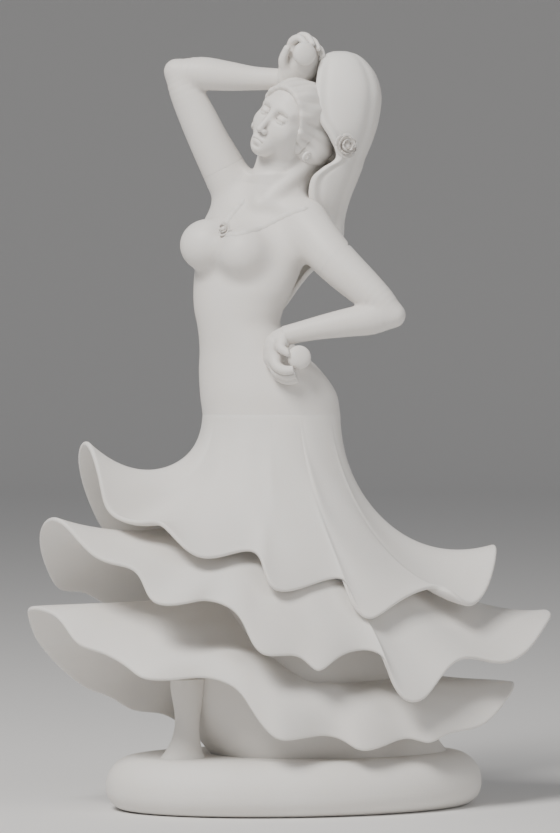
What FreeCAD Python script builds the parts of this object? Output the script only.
"""Porcelain figurine of a flamenco dancer, as the set of cast pieces that the maker lutes together.

Millimetres. The origin is the middle of the plinth's foot, +Z is up, +X runs along the plinth and -Y is the
front. The dancer is modelled in a frame of her own, which stands turned on the plinth by figure_turn.
"""

import FreeCAD, Part
import Sketcher
import math
import os

Vector = FreeCAD.Vector
doc = FreeCAD.newDocument("figurine")
sheet = doc.addObject("Spreadsheet::Sheet", "Dimensions")

# ---------------------------------------------------------------------------------------------------------
# Driving dimensions
# ---------------------------------------------------------------------------------------------------------

DIMENSIONS = [
    ("figure_turn", -13.0, "turn of the dancer on the plinth, degrees"),
    ("plinth_long", 73.0, "plinth, half its length at the widest level"),
    ("plinth_deep", 46.0, "plinth, half its depth at the widest level"),
    ("plinth_high", 20.5, "plinth, height"),
    ("plinth_crown", 11.5, "plinth, radius of the upper rounding"),
    ("plinth_heel", 8.0, "plinth, radius of the lower rounding"),
    ("plinth_wall", 10.0, "plinth, foot ring with its rounding, in plan"),
    ("plinth_hollow", 13.5, "plinth, depth of the hollow under it"),
    ("vent_radius", 2.5, "firing vent from the plinth's hollow into the skirt core"),
    ("cast_wall", 2.6, "wall of the hollow-cast body pieces"),
    ("frill_wall", 1.8, "thickness of a frill"),
    ("lute_gap", 0.05, "slip layer round a tenon"),
    ("tenon_radius", 2.6, "shoulder tenon"),
    ("tenon_length", 5.0, "shoulder tenon, length inside the torso"),
    ("wrist_tenon", 1.5, "wrist tenon, radius"),
    ("castanet_radius", 4.9, "castanet shell"),
    ("castanet_dome", 2.3, "castanet shell, height of the dome"),
    ("castanet_cup", 1.2, "castanet shell, depth of the hollow"),
    ("castanet_rim", 1.2, "castanet shell, width of the flat rim"),
    ("hair_depth", 1.5, "hair over the skull"),
    ("head_hollow", 7.0, "cast hollow of the head, radius"),
    ("earring_radius", 1.6, "earring hoop"),
    ("earring_wire", 0.55, "earring hoop, radius of its wire"),
    ("rose_radius", 4.2, "hair rose over the petals"),
    ("bodice_rose_radius", 2.8, "bodice rose over the petals"),
    ("petal_wall", 0.7, "thickness of a petal"),
]

# Sections of the lofted pieces, lowest first, in the dancer's frame: height, centre x, centre y, half width,
# half depth, facing (degrees that the section looks to the left) and lean (degrees that its left side drops).
TORSO = [
    (150.0, -9.0, 0.0, 26.5, 19.5, 8, 0),
    (158.5, -10.4, -0.4, 26.3, 18.8, 12, 0),
    (167.0, -13.6, -0.6, 23.8, 16.6, 18, 0),
    (175.0, -17.6, -0.6, 19.8, 14.2, 24, 0),
    (183.0, -21.2, -0.4, 17.0, 12.8, 30, 0),
    (190.5, -21.6, 0.0, 18.6, 13.4, 33, 2),
    (198.5, -19.6, 0.6, 21.4, 14.8, 36, 5),
    (207.5, -17.4, 1.2, 23.2, 15.8, 38, 9),
    (216.5, -14.8, 1.8, 24.0, 15.4, 38, 13),
    (225.0, -11.4, 2.6, 22.0, 13.0, 38, 17),
    (232.0, -8.0, 3.2, 15.6, 10.2, 36, 17),
    (238.0, -6.0, 3.2, 9.8, 8.8, 32, 10),
    (243.5, -4.8, 2.6, 8.2, 7.9, 30, 0),
    (250.0, -3.6, 1.8, 7.8, 7.7, 30, 0),
]
TORSO_HOLLOW_TOP = 9
BREASTS = [((-30.2, -0.8, 214.0), 11.8), ((-13.5, -14.0, 211.5), 11.8)]
CORE = [
    (20.5, 14.0, 3.0, 46.0, 31.0, 0, 0),
    (34.0, 5.0, 2.0, 46.0, 29.0, 0, 0),
    (55.0, -1.0, 1.0, 41.0, 25.0, 0, 0),
    (85.0, -2.0, 1.0, 27.0, 19.0, 8, 0),
    (118.0, -7.5, 1.5, 20.0, 14.0, 21, 0),
    (150.0, -8.77, 2.02, 24.0, 17.0, 21, 0),
]
# The mantilla is a curved sheet, open towards her face: height, centre x and y, half width, half depth and
# thickness, then the bearings of its front and its back edge, in degrees round from her left.
MANTILLA = [
    (197.0, 3.0, 12.0, 15.0, 5.0, 2.0, -5, 150),
    (208.0, 3.5, 10.0, 15.5, 8.5, 2.0, -25, 125),
    (220.0, 4.5, 8.5, 16.0, 9.0, 2.0, -45, 120),
    (232.0, 7.0, 6.5, 15.2, 10.5, 2.0, -75, 125),
    (245.0, 10.0, 5.0, 16.8, 12.8, 2.0, -95, 125),
    (258.0, 13.5, 6.0, 18.8, 15.2, 2.0, -100, 125),
    (270.0, 16.2, 5.5, 17.2, 14.4, 2.0, -105, 130),
    (280.0, 17.0, 5.5, 14.8, 12.0, 2.2, -112, 135),
    (286.5, 17.4, 5.0, 10.5, 8.5, 3.0, -120, 140),
    (289.5, 17.6, 5.0, 5.5, 4.5, 3.2, -125, 145),
]
PROP = [
    (20.5, -46.0, -11.0, 8.6, 6.4, 0, 0),
    (25.0, -45.2, -11.0, 6.2, 5.0, 0, 0),
    (31.0, -44.4, -10.8, 4.8, 4.2, 0, 0),
    (39.0, -44.0, -10.4, 5.2, 4.4, 0, 0),
    (50.0, -44.0, -10.0, 6.4, 5.0, 0, 0),
]
# Sections of the head along its own upright axis, chin first: height above the middle of the head, how far
# forward, half width and half depth.
HEAD = [
    (-16.0, 8.2, 2.6, 2.2),
    (-14.6, 6.6, 4.6, 4.6),
    (-12.0, 4.2, 6.8, 8.0),
    (-7.0, 1.6, 8.8, 11.6),
    (-1.0, 0.4, 10.4, 13.4),
    (5.0, -0.4, 11.0, 14.3),
    (10.5, -1.0, 10.0, 13.2),
    (14.5, -1.4, 7.2, 9.6),
    (16.8, -1.6, 2.8, 3.8),
]
HEAD_MIDDLE = (-2.2, -1.0, 261.5)
HEAD_YAW = 34.0
HEAD_PITCH = 8.0
HEAD_ROLL = 34.0

# Arms, from the shoulder to the elbow and from the elbow to the wrist: x, y, z and radius, dancer's frame.
LEFT_ARM = {
    "upper": [(6.0, -9.0, 220.0, 9.0), (15.5, -15.5, 208.0, 8.2), (25.0, -19.5, 199.0, 7.4),
              (32.5, -21.5, 192.4, 6.4), (36.0, -22.0, 189.2, 5.6)],
    "elbow": (35.6, -22.0, 188.8, 5.7),
    "fore": [(36.0, -22.2, 187.0, 5.2), (29.0, -22.8, 185.8, 5.9), (20.0, -23.2, 184.6, 5.5),
             (11.0, -23.0, 183.2, 4.7), (3.5, -22.4, 181.6, 4.1), (-3.5, -21.4, 179.8, 3.8)],
}
RIGHT_ARM = {
    "upper": [(-21.0, 12.0, 231.0, 9.4), (-27.0, 11.0, 243.5, 8.6), (-33.0, 9.6, 255.0, 7.5),
              (-38.0, 8.2, 265.5, 7.0), (-42.0, 7.0, 274.5, 6.0), (-44.0, 6.4, 279.5, 5.4)],
    "elbow": (-43.6, 6.4, 280.4, 5.5),
    "fore": [(-43.0, 6.2, 281.2, 5.2), (-36.0, 5.2, 281.0, 6.2), (-26.0, 4.0, 279.8, 5.7),
             (-16.0, 2.8, 278.8, 4.6), (-6.5, 1.6, 278.4, 4.0)],
}

# Hands, from the wrist: each finger a chain of x, y, z and radius, in the dancer's frame.
LEFT_HAND = [
    [(-3.5, -21.4, 179.8, 3.75), (-7.4, -20.8, 176.4, 3.9), (-8.8, -20.2, 171.8, 3.4)],
    [(-6.4, -23.4, 177.4, 1.7), (-8.6, -25.0, 173.6, 1.5), (-7.8, -25.4, 169.6, 1.3)],
    [(-8.6, -22.4, 172.6, 1.7), (-8.2, -23.6, 167.6, 1.5), (-4.6, -24.2, 164.8, 1.4),
     (-0.4, -24.0, 164.4, 1.2)],
    [(-8.8, -20.6, 171.8, 1.7), (-8.0, -21.6, 166.4, 1.5), (-4.0, -22.0, 163.4, 1.4),
     (1.2, -21.6, 163.6, 1.2)],
    [(-8.8, -19.0, 171.6, 1.6), (-7.4, -19.4, 165.6, 1.5), (-3.2, -19.4, 162.6, 1.3),
     (1.8, -19.2, 163.0, 1.2)],
]
RIGHT_HAND = [
    [(-6.5, 1.6, 278.4, 3.95), (-2.4, 0.8, 281.6, 4.0), (-0.8, 0.4, 287.0, 3.7)],
    [(-3.8, -2.0, 281.6, 1.7), (-4.4, -4.2, 285.6, 1.5), (-2.8, -5.0, 289.4, 1.3)],
    [(-1.8, -1.6, 287.2, 1.7), (-1.0, -2.8, 292.4, 1.5), (2.6, -4.4, 294.4, 1.4), (6.2, -5.6, 292.0, 1.2)],
    [(-0.4, 0.2, 288.0, 1.7), (0.8, -0.6, 294.0, 1.5), (4.2, -2.2, 295.0, 1.4), (8.0, -3.4, 291.6, 1.2)],
    [(0.8, 1.8, 287.4, 1.6), (2.6, 1.4, 292.8, 1.5), (6.0, 0.2, 293.2, 1.3), (9.4, -1.0, 289.6, 1.2)],
    [(1.4, 3.2, 286.0, 1.5), (3.8, 3.2, 290.4, 1.3), (7.2, 2.4, 290.4, 1.2), (10.2, 1.4, 287.4, 1.1)],
]

# Small luted pieces: middle and the way that each looks, in the dancer's frame.
CASTANETS = {
    "left": ((1.6, -24.8, 171.2), (0.25, -1.0, 0.1)),
    "right": ((4.4, -7.6, 287.4), (0.35, -1.0, -0.1)),
}
EARRINGS = [(14.2, 1.0, -7.5), (-14.2, 1.0, -7.5)]
HAIR_ROSE = ((19.6, -11.8, 251.6), (0.55, -1.0, 0.1))
BODICE_ROSE = ((-26.5, -13.5, 219.4), (-0.62, -0.78, 0.3))
CHIGNON = ((15.0, 9.5, 254.0), (8.0, 8.0, 8.0))
ROSE_RINGS = [(3, 0.62), (5, 1.0)]
NECKLINE = [(96, 229.5), (80, 226.5), (62, 222.5), (44, 219.0), (28, 217.5), (10, 218.5), (-12, 221.0),
            (-34, 222.5), (-52, 223.5)]

# Frills. Each hem is a closed line through the folds, from the left tip along the front to the right tip and
# back round behind, in the row's own frame. From a root ring on the skirt core, the frill goes out to a knee,
# then to a brim inside the hem, and ends at the hem. Threes of numbers are at the left, the right, the front.
UPPER_FRILL = {
    "ring": ((-8.77, 2.02), (26.5, 19.5), -21.0),
    "root": (150.0, 150.0, 150.0),
    "knee_out": (0.5, 0.5, 8.0),
    "knee_drop": (22.0, 35.0, 24.0),
    "brim_in": (20.0, 32.0, 7.0),
    "brim_rise": (-15.0, -6.0, 16.0),
    "middle": (-1.0, 0.0),
    "hem": [
        (-80.8, -6.0, 139.4), (-77.9, -13.9, 125.6), (-74.6, -17.6, 114.5), (-64.9, -24.0, 111.2),
        (-56.5, -29.5, 109.5), (-45.5, -37.1, 98.2), (-29.0, -34.6, 99.8), (-21.5, -38.7, 96.2),
        (-15.6, -43.3, 84.8), (4.7, -36.4, 88.8), (11.6, -39.5, 85.4), (15.0, -42.3, 77.3),
        (20.6, -43.2, 74.6), (31.8, -37.7, 80.5), (46.9, -29.0, 85.5), (55.5, -29.0, 82.8),
        (62.7, -27.2, 78.8), (72.0, -18.3, 85.4), (77.6, -9.0, 98.1),
        (77.0, 3.0, 97.0), (70.0, 16.0, 88.0), (58.0, 23.0, 90.0), (45.0, 32.0, 82.0), (31.0, 32.0, 89.0),
        (16.0, 41.0, 81.0), (1.0, 36.0, 90.0), (-15.0, 43.0, 86.0), (-30.0, 36.0, 97.0), (-45.0, 37.0, 95.0),
        (-58.0, 30.0, 104.0), (-68.0, 25.0, 105.6), (-75.3, 19.6, 115.0), (-80.2, 13.0, 126.0),
        (-82.8, 3.6, 136.6),
    ],
}
MIDDLE_FRILL = {
    "ring": ((-3.0, 1.0), (22.5, 15.8), 0.0),
    "root": (116.0, 108.0, 110.0),
    "knee_out": (18.0, 20.0, 12.0),
    "knee_drop": (12.0, 18.0, 14.0),
    "brim_in": (18.0, 28.0, 4.0),
    "brim_rise": (-6.0, 0.0, 21.0),
    "middle": (0.0, 0.0),
    "hem": [
        (-96.5, -11.0, 111.9), (-92.1, -19.3, 109.4), (-86.2, -24.5, 101.8), (-78.4, -29.6, 96.3),
        (-68.6, -33.5, 93.1), (-64.9, -38.0, 84.7), (-60.0, -41.6, 80.5), (-50.2, -41.8, 80.9),
        (-41.9, -39.8, 81.6), (-32.8, -43.4, 77.6), (-28.0, -47.2, 68.1), (-21.8, -49.9, 61.4),
        (-9.9, -47.8, 60.9), (-2.8, -50.0, 55.4), (5.6, -46.9, 59.8), (15.8, -42.9, 62.4),
        (22.7, -45.8, 60.2), (25.8, -48.5, 52.9), (30.1, -49.9, 45.1), (35.8, -49.0, 43.4),
        (42.0, -45.7, 46.8), (50.8, -40.6, 56.0), (62.0, -34.1, 58.6), (74.4, -31.8, 56.5),
        (86.5, -24.3, 61.1), (95.5, -14.0, 68.5), (101.6, -2.0, 73.0),
        (99.0, 10.0, 72.0), (90.0, 20.0, 64.0), (77.0, 27.0, 66.0), (64.0, 36.0, 57.0), (49.0, 37.0, 64.0),
        (33.0, 47.0, 53.0), (17.0, 42.0, 63.0), (0.0, 50.0, 55.0), (-17.0, 44.0, 67.0), (-34.0, 48.0, 64.0),
        (-50.0, 39.0, 77.0), (-64.0, 38.0, 76.0), (-76.0, 31.0, 82.0), (-86.0, 26.0, 83.5),
        (-91.8, 20.0, 89.4), (-96.2, 12.0, 98.6), (-98.0, 2.0, 107.0),
    ],
}
LOWER_FRILL = {
    "ring": ((4.0, 1.0), (29.0, 20.5), 0.0),
    "root": (82.0, 50.0, 48.0),
    "knee_out": (22.0, 15.0, 8.0),
    "knee_drop": (3.0, 0.0, -2.0),
    "brim_in": (24.0, 14.0, 0.5),
    "brim_rise": (2.0, 3.0, 24.0),
    "middle": (-3.0, 0.0),
    "hem": [
        (-102.9, -4.0, 78.0), (-96.9, -14.6, 76.6), (-92.3, -20.5, 71.1), (-87.8, -24.9, 65.0),
        (-79.6, -27.7, 61.9), (-71.2, -33.4, 56.8), (-65.8, -38.5, 53.0), (-54.6, -38.8, 52.3),
        (-43.1, -38.4, 52.8), (-32.5, -42.1, 49.0), (-26.3, -44.8, 40.2), (-20.4, -47.3, 32.2),
        (-12.9, -47.8, 29.6), (0.6, -42.0, 30.5), (9.0, -43.7, 28.2), (14.9, -46.3, 25.2),
        (24.5, -43.3, 26.4), (34.6, -38.8, 28.6), (42.4, -41.3, 27.1), (51.4, -37.1, 30.1),
        (62.4, -32.5, 31.4), (71.0, -28.0, 35.2), (77.6, -22.0, 40.5), (84.0, -12.0, 45.2),
        (86.0, 0.0, 46.0), (82.0, 12.0, 42.0), (72.0, 20.0, 38.0), (60.0, 30.0, 29.0), (46.0, 32.0, 34.0),
        (31.0, 43.0, 25.5), (15.0, 38.0, 32.0), (-1.0, 45.0, 25.5), (-17.0, 39.0, 33.0), (-32.0, 42.0, 28.0),
        (-44.0, 35.0, 33.0), (-56.0, 35.0, 35.0), (-66.3, 31.0, 40.8), (-76.0, 28.6, 44.8),
        (-86.5, 23.6, 52.6), (-93.4, 18.0, 59.4), (-99.0, 11.4, 66.4), (-102.8, 3.0, 74.1),
    ],
}
TIP_SHARPNESS = 1.6
AROUND = 84
ALONG = 7
EVENING_ROUNDS = 3
RING_POINTS = 20


def fill_sheet():
    """Writes the driving dimensions and the body sections into the spreadsheet, one alias a cell."""
    row = 1
    for alias, number, note in DIMENSIONS:
        sheet.set(f"A{row}", note)
        sheet.set(f"B{row}", str(number))
        sheet.setAlias(f"B{row}", alias)
        row += 1
    for name, stations in (("torso", TORSO), ("core", CORE), ("mantilla", MANTILLA), ("prop", PROP)):
        for index, station in enumerate(stations):
            sheet.set(f"A{row}", f"{name} section {index}")
            for column, word in zip("BCDEF", ("level", "across", "behind", "wide", "deep")):
                number = station["BCDEF".index(column)]
                sheet.set(f"{column}{row}", str(number))
                sheet.setAlias(f"{column}{row}", f"{name}_{index}_{word}")
            row += 1
    doc.recompute()


def size(alias):
    """A number of the spreadsheet."""
    return float(sheet.get(alias))


# ---------------------------------------------------------------------------------------------------------
# Frames
# ---------------------------------------------------------------------------------------------------------

def turn_about_z(degrees):
    return FreeCAD.Rotation(Vector(0, 0, 1), degrees)


def on_plinth(point):
    """A point or direction of the dancer's frame, in the row's frame."""
    return turn_about_z(size("figure_turn")).multVec(Vector(*point))


def head_rotation():
    """The head's own axes: x to the dancer's left, -y forward and z to the crown."""
    yaw = turn_about_z(-HEAD_YAW + size("figure_turn"))
    roll = FreeCAD.Rotation(Vector(0, 1, 0), HEAD_ROLL)
    pitch = FreeCAD.Rotation(Vector(1, 0, 0), HEAD_PITCH)
    view = turn_about_z(size("figure_turn"))
    return view.multiply(roll).multiply(view.inverted()).multiply(yaw).multiply(pitch)


def frame_along(direction):
    """A rotation whose z axis is the direction, with its y axis as near to the back as it can be."""
    way = Vector(direction).normalize()
    return FreeCAD.Rotation(Vector(0, 0, 0), Vector(0, 1, 0.02), way, "ZYX")


# ---------------------------------------------------------------------------------------------------------
# Document objects
# ---------------------------------------------------------------------------------------------------------

def add(kind, label, **properties):
    """A document object with its label, its properties and its placement."""
    made = doc.addObject(kind, label)
    made.Label = label
    for name, setting in properties.items():
        if isinstance(setting, str) and setting.startswith("="):
            made.setExpression(name, setting[1:])
        else:
            setattr(made, name, setting)
    return made


def subtract(label, base, *tools):
    """The base without the tools, by one cut after another."""
    made = base
    for index, tool in enumerate(tools):
        last = index == len(tools) - 1
        made = add("Part::Cut", label if last else f"{label}_cut_{index}", Base=made, Tool=tool)
    return made


def unite(label, *shapes):
    return add("Part::MultiFuse", label, Shapes=list(shapes))


def finished(label, shape):
    """A piece whose shape is worked out in code."""
    made = doc.addObject("Part::Feature", label)
    made.Label = label
    made.Shape = shape
    made.Placement = FreeCAD.Placement()
    return made


def ellipse_ring(centre, rotation, half_wide, half_deep):
    """Points round an ellipse, in order, the first on the rotation's x axis."""
    ring = []
    for step in range(RING_POINTS):
        turn = 2 * math.pi * step / RING_POINTS
        flat = Vector(half_wide * math.cos(turn), half_deep * math.sin(turn), 0)
        ring.append(centre + rotation.multVec(flat))
    return ring


def skin(label, rings):
    """A solid with a smooth side through flat rings of points and a flat cap on the first and last ring.

    The sections turn as they rise, which twists a loft through ellipses, so the side is one spline surface.
    """
    columns = [[ring[step] for ring in rings] for step in range(RING_POINTS)]
    side = Part.BSplineSurface()
    side.interpolate(columns + [columns[0]])
    faces = [side.toShape()]
    for end in (2, 3):
        rim = Part.Wire(side.vIso(side.bounds()[end]).toShape())
        faces.append(Part.Face(rim))
    shell = Part.makeShell(faces)
    shell.sewShape()
    solid = Part.makeSolid(Part.Shell(shell.Faces))
    if solid.Volume < 0:
        solid.reverse()
    return finished(label, solid)


def stacked_skin(label, stations, name, dancer=True, inset=0.0, last=None):
    """A skin through level ellipses, whose sizes are the cells of that name."""
    rings = []
    for index, station in list(enumerate(stations))[:last]:
        level, across, behind, wide, deep = [
            size(f"{name}_{index}_{word}") for word in ("level", "across", "behind", "wide", "deep")]
        facing, lean = station[5:]
        centre = Vector(across, behind, level)
        turn = -facing
        if dancer:
            centre = on_plinth(centre)
            turn += size("figure_turn")
        rotation = turn_about_z(turn).multiply(FreeCAD.Rotation(Vector(0, 1, 0), -lean))
        rings.append(ellipse_ring(centre, rotation, wide - inset, deep - inset))
    return skin(label, rings)


def rod_skin(label, rod, first_way=None):
    """A skin through circles along a bent rod, each square to the rod there."""
    points = [on_plinth(station[:3]) for station in rod]
    rings = []
    for index, point in enumerate(points):
        before = points[max(index - 1, 0)]
        after = points[min(index + 1, len(points) - 1)]
        way = first_way if index == 0 and first_way else after - before
        rings.append(ellipse_ring(point, frame_along(way), rod[index][3], rod[index][3]))
    return skin(label, rings)


def ball(label, station):
    """A ball at a station of the dancer's frame."""
    return add("Part::Sphere", label, Radius=station[3],
               Placement=FreeCAD.Placement(on_plinth(station[:3]), FreeCAD.Rotation()))


def peg(label, start, way, radius, length):
    """A cylinder that starts at a point and runs that way."""
    return add("Part::Cylinder", label, Radius=radius, Height=length,
               Placement=FreeCAD.Placement(start, frame_along(way)))


def chain(label, stations):
    """Balls and cones along a finger."""
    made = []
    for index, station in enumerate(stations):
        made.append(ball(f"{label}_ball_{index}", station))
        if index + 1 < len(stations):
            here, there = on_plinth(station[:3]), on_plinth(stations[index + 1][:3])
            radius, next_radius = station[3], stations[index + 1][3]
            if abs(radius - next_radius) < 0.01:
                next_radius -= 0.01
            made.append(add("Part::Cone", f"{label}_bone_{index}", Radius1=radius, Radius2=next_radius,
                            Height=(there - here).Length,
                            Placement=FreeCAD.Placement(here, frame_along(there - here))))
    return made


def plane_of(body, role):
    """One of a body's own origin planes."""
    return [plane for plane in body.Origin.OriginFeatures if plane.Role == role][0]


def new_body(label):
    body = doc.addObject("PartDesign::Body", label)
    body.Label = label
    return body


def new_sketch(body, name, role):
    sketch = body.newObject("Sketcher::SketchObject", name)
    sketch.AttachmentSupport = (plane_of(body, role), [""])
    sketch.MapMode = "FlatFace"
    return sketch


def ellipse_sketch(body, name, half_long, half_deep):
    """A level ellipse about the origin, whose half axes follow two expressions of the spreadsheet."""
    sketch = new_sketch(body, name, "XY_Plane")
    rough = Part.Ellipse(Vector(10, 0, 0), Vector(0, 5, 0), Vector(0, 0, 0))
    curve = sketch.addGeometry(rough, False)
    sketch.exposeInternalGeometry(curve)
    long_axis, deep_axis = curve + 1, curve + 2
    sketch.addConstraint(Sketcher.Constraint("Coincident", curve, 3, -1, 1))
    sketch.addConstraint(Sketcher.Constraint("Horizontal", long_axis))
    for axis, half, rough_size in ((long_axis, half_long, 20.0), (deep_axis, half_deep, 10.0)):
        number = sketch.addConstraint(Sketcher.Constraint("Distance", axis, rough_size))
        sketch.setExpression(f"Constraints[{number}]", f"2 * ({half})")
    return sketch


# ---------------------------------------------------------------------------------------------------------
# Plinth, prop and skirt core
# ---------------------------------------------------------------------------------------------------------

def build_plinth():
    """Oval plinth with a rounded side, hollow from below, with a firing vent up into the skirt core."""
    body = new_body("plinth")
    outline = ellipse_sketch(body, "plinth_outline", "Dimensions.plinth_long", "Dimensions.plinth_deep")
    pad = body.newObject("PartDesign::Pad", "plinth_pad")
    pad.Profile = outline
    pad.setExpression("Length", "Dimensions.plinth_high")
    doc.recompute()
    previous = pad
    for name, alias, level in (("heel", "plinth_heel", 0.0), ("crown", "plinth_crown", size("plinth_high"))):
        rims = [f"Edge{number + 1}" for number, edge in enumerate(previous.Shape.Edges)
                if edge.Closed and abs(edge.CenterOfMass.z - level) < 0.01]
        rounding = body.newObject("PartDesign::Fillet", f"plinth_{name}_rounding")
        rounding.Base = (previous, rims)
        rounding.setExpression("Radius", f"Dimensions.{alias}")
        doc.recompute()
        previous = rounding
    inset = "Dimensions.plinth_heel - Dimensions.plinth_wall"
    opening = ellipse_sketch(body, "plinth_opening", f"Dimensions.plinth_long - {inset}",
                             f"Dimensions.plinth_deep - {inset}")
    hollow = body.newObject("PartDesign::Pocket", "plinth_hollow")
    hollow.Profile = opening
    hollow.Reversed = True
    hollow.setExpression("Length", "Dimensions.plinth_hollow")
    vent_circle = new_sketch(body, "plinth_vent_circle", "XY_Plane")
    vent_circle.addGeometry(Part.Circle(Vector(0, 0, 0), Vector(0, 0, 1), size("vent_radius")), False)
    vent = body.newObject("PartDesign::Pocket", "plinth_vent")
    vent.Profile = vent_circle
    vent.Reversed = True
    vent.setExpression("Length", "Dimensions.plinth_high")
    doc.recompute()
    if vent.Shape.Volume >= hollow.Shape.Volume or hollow.Shape.Volume >= rounding.Shape.Volume:
        raise RuntimeError("a pocket of the plinth cut nothing")
    return body


def build_core():
    """Hollow flared core inside the skirt, which carries the frills and the torso."""
    outside = stacked_skin("core_outside", CORE, "core", dancer=False)
    inside = stacked_skin("core_inside", CORE, "core", dancer=False, inset=size("cast_wall"))
    return outside, subtract("skirt_core", outside, inside)


# ---------------------------------------------------------------------------------------------------------
# Frills
# ---------------------------------------------------------------------------------------------------------

def closed_spline(knots):
    """Periodic smooth curve through the knots, one unit of parameter a knot."""
    curve = Part.BSplineCurve()
    curve.interpolate(Points=knots, PeriodicFlag=True, Parameters=[float(i) for i in range(len(knots) + 1)])
    return curve


def by_side(bearing, values):
    """Blends the values at the left tip, the right tip and the front over the bearing."""
    left, right, front = values
    to_left = max(0.0, -math.cos(bearing)) ** TIP_SHARPNESS
    to_right = max(0.0, math.cos(bearing)) ** TIP_SHARPNESS
    return front + (left - front) * to_left + (right - front) * to_right


def hem_bearings(knots, middle):
    """The bearing of each fold point from the middle of the frill, always climbing round the hem."""
    reach_x = max(abs(knot.x - middle[0]) for knot in knots)
    reach_y = max(abs(knot.y - middle[1]) for knot in knots)
    bearings = []
    for knot in knots:
        bearing = math.atan2((knot.y - middle[1]) / reach_y, (knot.x - middle[0]) / reach_x)
        while bearings and bearing < bearings[-1] - math.pi:
            bearing += 2 * math.pi
        bearings.append(bearing)
    return bearings


def frill_profile(frill, hem, bearing):
    """The control points of the frill's profile at one place round it: root, knee, brim and hem."""
    centre, half, turn = frill["ring"]
    on_ring = bearing - math.radians(turn)
    flat = turn_about_z(turn).multVec(Vector(half[0] * math.cos(on_ring), half[1] * math.sin(on_ring), 0))
    root = Vector(centre[0] + flat.x, centre[1] + flat.y, by_side(bearing, frill["root"]))
    outward = Vector(flat.x, flat.y, 0).normalize()
    knee = root + outward * by_side(bearing, frill["knee_out"])
    knee.z -= by_side(bearing, frill["knee_drop"])
    inward = Vector(root.x - hem.x, root.y - hem.y, 0).normalize()
    brim = hem + inward * by_side(bearing, frill["brim_in"])
    brim.z += by_side(bearing, frill["brim_rise"])
    return root, knee, brim, hem


def bezier(points, along):
    a, b, c, d = points
    back = 1.0 - along
    return (a * back ** 3 + b * (3 * back * back * along) + c * (3 * back * along * along) + d * along ** 3)


def evened(columns, shares):
    """Draws each row's vectors towards the mean of their neighbours round the frill, by the row's share."""
    for _ in range(EVENING_ROUNDS):
        drawn = []
        for index, column in enumerate(columns):
            ahead, behind = columns[(index + 1) % AROUND], columns[index - 1]
            drawn.append([here + (before + after - here * 2) * (0.25 * share)
                          for here, before, after, share in zip(column, behind, ahead, shares)])
        columns = drawn
    return columns


def frill_grid(frill):
    """Outer and inner points of the frill, as columns from the root to the hem."""
    knots = [Vector(*fold) for fold in frill["hem"]]
    hem_line = closed_spline(knots)
    bearings = hem_bearings(knots, frill["middle"])
    even = 2 * math.pi / len(knots)
    departure = closed_spline([Vector(b - even * i, 0, 0.001 * (i % 2)) for i, b in enumerate(bearings)])
    outer = []
    for step in range(AROUND):
        place = len(knots) * step / AROUND
        bearing = departure.value(place).x + even * place
        profile = frill_profile(frill, hem_line.value(place), bearing)
        outer.append([bezier(profile, row / (ALONG - 1)) for row in range(ALONG)])
    outer = evened(outer, [1.0 - row / (ALONG - 1) for row in range(ALONG)])
    inward = []
    for index, column in enumerate(outer):
        ahead, behind = outer[(index + 1) % AROUND], outer[index - 1]
        ways = []
        for row in range(ALONG):
            down = column[min(row + 1, ALONG - 1)] - column[max(row - 1, 0)]
            ways.append((ahead[row] - behind[row]).cross(down).normalize())
        inward.append(ways)
    inward = evened(inward, [1.0] * ALONG)
    wall = size("frill_wall")
    inner = [[point + way * wall for point, way in zip(*pair)] for pair in zip(outer, inward)]
    return outer, inner


def build_frill(label, frill, *tools):
    """A frill as a closed wall between a smooth outer and inner face, cut to sit on its neighbours."""
    surfaces = []
    for grid in frill_grid(frill):
        surface = Part.BSplineSurface()
        surface.interpolate(grid + [grid[0]])
        surfaces.append(surface)
    faces = [surface.toShape() for surface in surfaces]
    for end in (2, 3):
        rims = [surface.vIso(surface.bounds()[end]).toShape() for surface in surfaces]
        faces.append(Part.makeRuledSurface(*rims))
    shell = Part.makeShell(faces)
    shell.sewShape()
    wall = Part.makeSolid(Part.Shell(shell.Faces))
    if wall.Volume < 0:
        wall.reverse()
    if not tools:
        return finished(label, wall)
    return subtract(label, finished(f"{label}_blank", wall), *tools)


# ---------------------------------------------------------------------------------------------------------
# Torso, arms and hands
# ---------------------------------------------------------------------------------------------------------

def build_torso_outside():
    trunk = stacked_skin("trunk", TORSO, "torso")
    breasts = []
    for index, (middle, radius) in enumerate(BREASTS):
        breasts.append(ball(f"breast_{index}", (*middle, radius)))
    return unite("torso_outside", trunk, *breasts)


def build_torso_hollow():
    """The cast hollow of the torso, and a vent up the neck into the head."""
    hollow = stacked_skin("torso_inside", TORSO, "torso", inset=size("cast_wall"), last=TORSO_HOLLOW_TOP)
    low = on_plinth(TORSO[TORSO_HOLLOW_TOP - 2][1:3] + (TORSO[TORSO_HOLLOW_TOP - 2][0],))
    high = on_plinth(HEAD_MIDDLE)
    vent = peg("neck_vent", low, high - low, size("vent_radius"), (high - low).Length)
    return hollow, vent


def build_arm(label, arm):
    """An arm as two skins and the ball of the elbow."""
    upper = rod_skin(f"{label}_upper", arm["upper"])
    elbow = ball(f"{label}_elbow", arm["elbow"])
    fore = rod_skin(f"{label}_fore", arm["fore"])
    return unite(f"{label}_blank", upper, elbow, fore)


def wrist_way(arm):
    """The way that the forearm points at the wrist's luting face."""
    return on_plinth(arm["fore"][-1][:3]) - on_plinth(arm["fore"][-2][:3])


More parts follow.
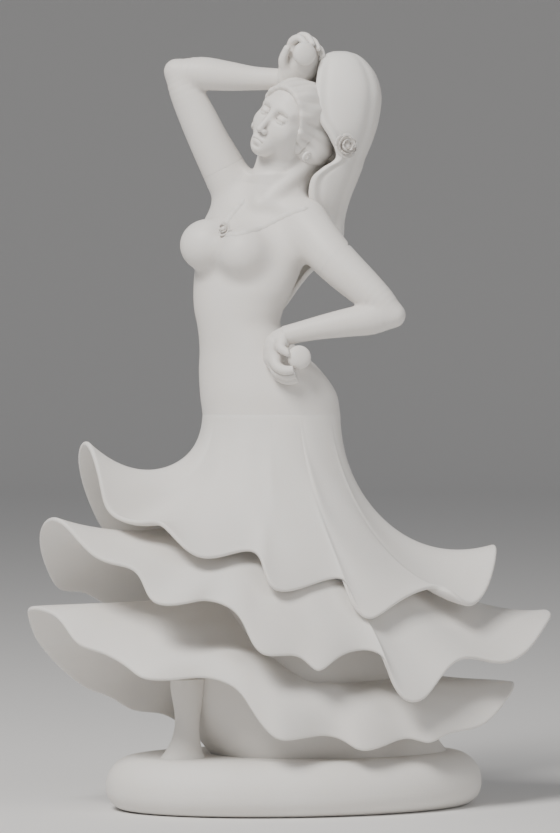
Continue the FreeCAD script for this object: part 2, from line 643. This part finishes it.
def build_hand(label, fingers, arm):
    """A palm that starts on the wrist's luting face, with its fingers and a wrist tenon."""
    palm, *others = fingers
    made = [rod_skin(f"{label}_palm", palm, first_way=wrist_way(arm)), ball(f"{label}_knuckles", palm[-1])]
    for index, finger in enumerate(others):
        made += chain(f"{label}_finger_{index}", finger)
    made.append(wrist_tenon(f"{label}_tenon", arm, size("wrist_tenon")))
    return unite(f"{label}_blank", *made)


def shoulder_tenon(label, arm, radius, length):
    """A peg from inside the arm, back through the shoulder's luting face into the torso."""
    first, second = on_plinth(arm["upper"][0][:3]), on_plinth(arm["upper"][1][:3])
    back = first - second
    return peg(label, second, back, radius, back.Length + length)


def wrist_tenon(label, arm, radius):
    """A peg from inside the palm, back through the wrist's luting face into the forearm."""
    way = wrist_way(arm).normalize()
    start = on_plinth(arm["fore"][-1][:3]) + way
    return peg(label, start, way.negative(), radius, size("tenon_length"))


# ---------------------------------------------------------------------------------------------------------
# Head, hair, mantilla and small pieces
# ---------------------------------------------------------------------------------------------------------

def head_skin(label, grow):
    """The head through level ellipses of its own frame, or a layer round it that is `grow` thicker."""
    rotation = head_rotation()
    middle = on_plinth(HEAD_MIDDLE)
    stretch = 1.0 + grow / HEAD[-1][0]
    rings = []
    for height, forward, wide, deep in HEAD:
        centre = middle + rotation.multVec(Vector(0, -forward, height * stretch))
        rings.append(ellipse_ring(centre, rotation, wide + grow, deep + grow))
    return skin(label, rings)


def build_head_cavity():
    """The cast hollow of the head."""
    return [add("Part::Sphere", "head_hollow", Radius="=Dimensions.head_hollow",
                Placement=FreeCAD.Placement(on_plinth(HEAD_MIDDLE), FreeCAD.Rotation()))]


def build_ellipsoid(label, place):
    middle, halves = place
    return add("Part::Ellipsoid", label, Radius1=halves[2], Radius2=halves[0], Radius3=halves[1],
               Angle1=-90, Angle2=90, Angle3=360,
               Placement=FreeCAD.Placement(on_plinth(middle), turn_about_z(size("figure_turn"))))


def build_mantilla():
    """The sheet through C-shaped sections: out along an ellipse, and back along one that is inset."""
    rings = []
    steps = RING_POINTS // 2
    for index, station in enumerate(MANTILLA):
        level, across, behind, wide, deep = [
            size(f"mantilla_{index}_{word}") for word in ("level", "across", "behind", "wide", "deep")]
        thick, front, back = station[5:]
        ring = []
        for inset, start, end in ((0.0, front, back), (thick, back, front)):
            for step in range(steps):
                turn = math.radians(start + (end - start) * step / (steps - 1))
                reach_x, reach_y = (wide - inset) * math.cos(turn), (deep - inset) * math.sin(turn)
                ring.append(on_plinth((across + reach_x, behind + reach_y, level)))
        rings.append(ring)
    return skin("mantilla", rings)


def face_block():
    """The space in front of the hairline."""
    rotation = head_rotation().multiply(FreeCAD.Rotation(Vector(1, 0, 0), -24.0))
    corner = on_plinth(HEAD_MIDDLE) + rotation.multVec(Vector(-20, -34, -34))
    return add("Part::Box", "face_block", Length=40, Width=32, Height=44,
               Placement=FreeCAD.Placement(corner, rotation))


def build_castanet(label, middle, way, side):
    """One dished castanet shell, with its flat rim towards the other shell of the pair."""
    seat = FreeCAD.Placement(on_plinth(middle), frame_along(on_plinth(way) * side))
    dome = add("Part::Ellipsoid", f"{label}_dome", Radius1="=Dimensions.castanet_dome",
               Radius2="=Dimensions.castanet_radius", Radius3="=Dimensions.castanet_radius",
               Angle1=0, Angle2=90, Angle3=360, Placement=seat)
    cup = add("Part::Ellipsoid", f"{label}_cup", Radius1="=Dimensions.castanet_cup",
              Radius2="=Dimensions.castanet_radius - Dimensions.castanet_rim",
              Radius3="=Dimensions.castanet_radius - Dimensions.castanet_rim",
              Angle1=-90, Angle2=90, Angle3=360, Placement=seat)
    return subtract(label, dome, cup)


def build_rose_heart(label, place, radius):
    """The closed bud in the middle of a rose, just clear of its inner petals."""
    middle, way = place
    bud = radius * ROSE_RINGS[0][1] - size("petal_wall") - 2 * size("lute_gap")
    return add("Part::Ellipsoid", label, Radius1=bud * 1.2, Radius2=bud, Radius3=bud,
               Angle1=-90, Angle2=90, Angle3=360,
               Placement=FreeCAD.Placement(on_plinth(middle), frame_along(on_plinth(way))))


def petal(radius, wall):
    """One cupped petal beside the local Z axis: a window of a thin ball."""
    cup = Part.makeSphere(radius).cut(Part.makeSphere(radius - wall))
    corner = Vector(radius * 0.3, -radius * 0.5, -radius * 0.85)
    window = Part.makeBox(radius, radius, radius * 1.35, corner)
    return cup.common(window)


def build_rose_petals(label, place, radius):
    """Two rings of cupped petals round the heart, as one group of separate solids, none touching."""
    middle, way = place
    seat = FreeCAD.Placement(on_plinth(middle), frame_along(on_plinth(way)))
    wall = size("petal_wall")
    petals = []
    for ring, (count, share) in enumerate(ROSE_RINGS):
        for index in range(count):
            turn = turn_about_z(360.0 * (index + 0.5 * ring) / count)
            one = petal(radius * share, wall)
            one.Placement = seat.multiply(FreeCAD.Placement(Vector(0, 0, 0), turn))
            petals.append(one)
    return finished(label, Part.makeCompound(petals))


def build_earrings():
    """A hoop under each ear."""
    hoops = []
    rotation = head_rotation()
    for index, place in enumerate(EARRINGS):
        middle = on_plinth(HEAD_MIDDLE) + rotation.multVec(Vector(*place))
        hoops.append(add("Part::Torus", f"earring_hoop_{index}", Radius1="=Dimensions.earring_radius",
                         Radius2="=Dimensions.earring_wire",
                         Placement=FreeCAD.Placement(middle, frame_along(rotation.multVec(Vector(1, 0, 0))))))
    return unite("earrings_blank", *hoops)


def torso_point(turn, level):
    """A point on the torso's side, `turn` degrees round from her front, positive to her right."""
    lower = max(index for index, station in enumerate(TORSO) if station[0] <= level)
    here, above = TORSO[lower], TORSO[lower + 1]
    share = (level - here[0]) / (above[0] - here[0])
    across, behind, wide, deep, facing = [here[i] + (above[i] - here[i]) * share for i in range(1, 6)]
    flat = Vector(-wide * math.sin(math.radians(turn)), -deep * math.cos(math.radians(turn)), 0)
    return Vector(across, behind, level) + turn_about_z(-facing).multVec(flat)


def build_neckline():
    """A rolled band along the top of the bodice, half sunk in the torso."""
    points = [on_plinth(torso_point(turn, level)) for turn, level in NECKLINE]
    path = Part.BSplineCurve()
    path.interpolate(points)
    wire = Part.Wire(path.toShape())
    ring = Part.Wire(Part.Circle(points[0], path.tangent(path.FirstParameter)[0], 1.25).toShape())
    return finished("neckline_blank", wire.makePipeShell([ring], True, False))


# ---------------------------------------------------------------------------------------------------------
# Building and writing
# ---------------------------------------------------------------------------------------------------------

def check(objects):
    """Stops on an object that failed, and on a sub-part whose shape is missing or not valid."""
    failed = [made.Label for made in doc.Objects if "Invalid" in made.State or "Error" in made.State]
    failed += [made.Label for made in objects
               if made.Shape.isNull() or not made.Shape.isValid() or not made.Shape.Solids]
    if failed:
        raise RuntimeError(f"these failed: {failed}")


def write(objects):
    os.makedirs("parts", exist_ok=True)
    for made in objects:
        made.Shape.exportStep(os.path.join("parts", f"{made.Label}.step"))
        print(f"{made.Label:22s} {len(made.Shape.Solids)} solid(s) {made.Shape.Volume / 1000:8.2f} cm3")


fill_sheet()
gap = size("lute_gap")
tenon = size("tenon_radius")
tenon_length = size("tenon_length")

plinth = build_plinth()
core_outside, skirt_core = build_core()
prop = subtract("prop", stacked_skin("prop_outside", PROP, "prop", dancer=False), core_outside)
upper_frill = build_frill("upper_frill", UPPER_FRILL)
middle_frill = build_frill("middle_frill", MIDDLE_FRILL, core_outside)
lower_frill = build_frill("lower_frill", LOWER_FRILL, core_outside)

torso_outside = build_torso_outside()
torso = subtract("torso", torso_outside, *build_torso_hollow(),
                 shoulder_tenon("left_socket", LEFT_ARM, tenon + gap, tenon_length + gap),
                 shoulder_tenon("right_socket", RIGHT_ARM, tenon + gap, tenon_length + gap))

castanets = {}
for side_word, (middle, way) in CASTANETS.items():
    castanets[side_word] = [build_castanet(f"{side_word}_castanet_front", middle, way, 1),
                            build_castanet(f"{side_word}_castanet_back", middle, way, -1)]
doc.recompute()

hair_outside = head_skin("hair_outside", size("hair_depth"))
arms, hands = {}, {}
for side_word, arm, fingers in (("left", LEFT_ARM, LEFT_HAND), ("right", RIGHT_ARM, RIGHT_HAND)):
    blank = build_arm(f"{side_word}_arm", arm)
    seated = subtract(f"{side_word}_arm_seated", blank, torso_outside)
    peg_in = shoulder_tenon(f"{side_word}_arm_tenon", arm, tenon, tenon_length)
    pegged = unite(f"{side_word}_arm_pegged", seated, peg_in)
    socket = wrist_tenon(f"{side_word}_wrist_socket", arm, size("wrist_tenon") + gap)
    arms[side_word] = subtract(f"{side_word}_arm", pegged, socket)
    hand = build_hand(f"{side_word}_hand", fingers, arm)
    tools = castanets[side_word] + ([hair_outside] if side_word == "right" else [])
    hands[side_word] = subtract(f"{side_word}_hand", hand, *tools)

head_outside = head_skin("head_outside", 0.0)
cavity = build_head_cavity()
head = subtract("head", head_outside, torso_outside, *cavity)
hair = subtract("hair", hair_outside, head_outside, face_block(), torso_outside)
mantilla = build_mantilla()
chignon_outside = build_ellipsoid("chignon_outside", CHIGNON)
chignon = subtract("chignon", chignon_outside, hair_outside, mantilla)
neckline = subtract("neckline_band", build_neckline(), torso_outside, arms["right"])
hair_rose_radius, bodice_rose_radius = size("rose_radius"), size("bodice_rose_radius")
hair_rose_heart = subtract("hair_rose_heart", build_rose_heart("hair_rose_bud", HAIR_ROSE, hair_rose_radius),
                           hair_outside, mantilla)
hair_rose_petals = subtract("hair_rose_petals",
                            build_rose_petals("hair_rose_ring", HAIR_ROSE, hair_rose_radius),
                            hair_outside, mantilla, chignon_outside)
bodice_rose_heart = subtract("bodice_rose_heart",
                             build_rose_heart("bodice_rose_bud", BODICE_ROSE, bodice_rose_radius),
                             torso_outside, neckline)
bodice_rose_petals = subtract("bodice_rose_petals",
                              build_rose_petals("bodice_rose_ring", BODICE_ROSE, bodice_rose_radius),
                              torso_outside, neckline)
earrings = subtract("earrings", build_earrings(), head_outside, hair_outside)
doc.recompute()
pieces = [plinth, prop, skirt_core, lower_frill, middle_frill, upper_frill, torso, *arms.values(),
          *hands.values(), *castanets["left"], *castanets["right"], head, hair, chignon, mantilla, neckline,
          hair_rose_heart, hair_rose_petals, bodice_rose_heart, bodice_rose_petals, earrings]
check(pieces)
write(pieces)
